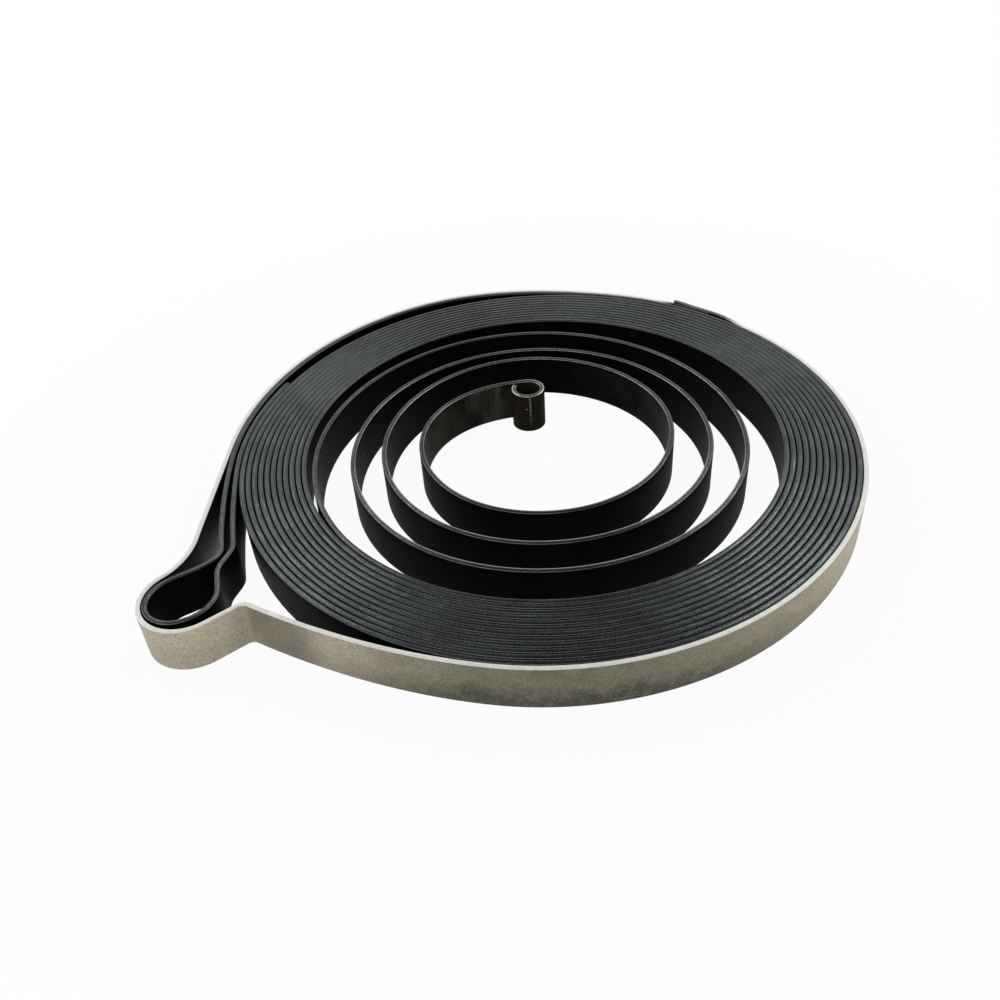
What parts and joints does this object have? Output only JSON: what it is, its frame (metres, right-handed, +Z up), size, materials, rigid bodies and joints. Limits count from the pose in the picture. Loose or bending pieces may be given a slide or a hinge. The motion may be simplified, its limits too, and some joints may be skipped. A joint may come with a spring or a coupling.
{
  "type": "recoil starter spring",
  "caption": "Flat spiral recoil spring of dark steel strip with a rolled inner eye and a teardrop outer loop, held wound by a bright retaining band.",
  "frame": {"origin": "on the axis of the tight coil, in the plane of the strip's lower edges", "axes": "+Z up along the coil axis, +X to the right of the picture, +Y away from its camera"},
  "size_m": [0.0876, 0.0832, 0.006],
  "materials": {
    "blued_spring_steel": "dark oiled, blued spring steel with satin edges",
    "bright_band_steel": "bare mild steel with a dull, mottled grey-beige face and bright edges"
  },
  "bodies": {
    "root": {"spiral_spring": "blued_spring_steel", "retaining_band": "bright_band_steel"}
  },
  "joints": []
}
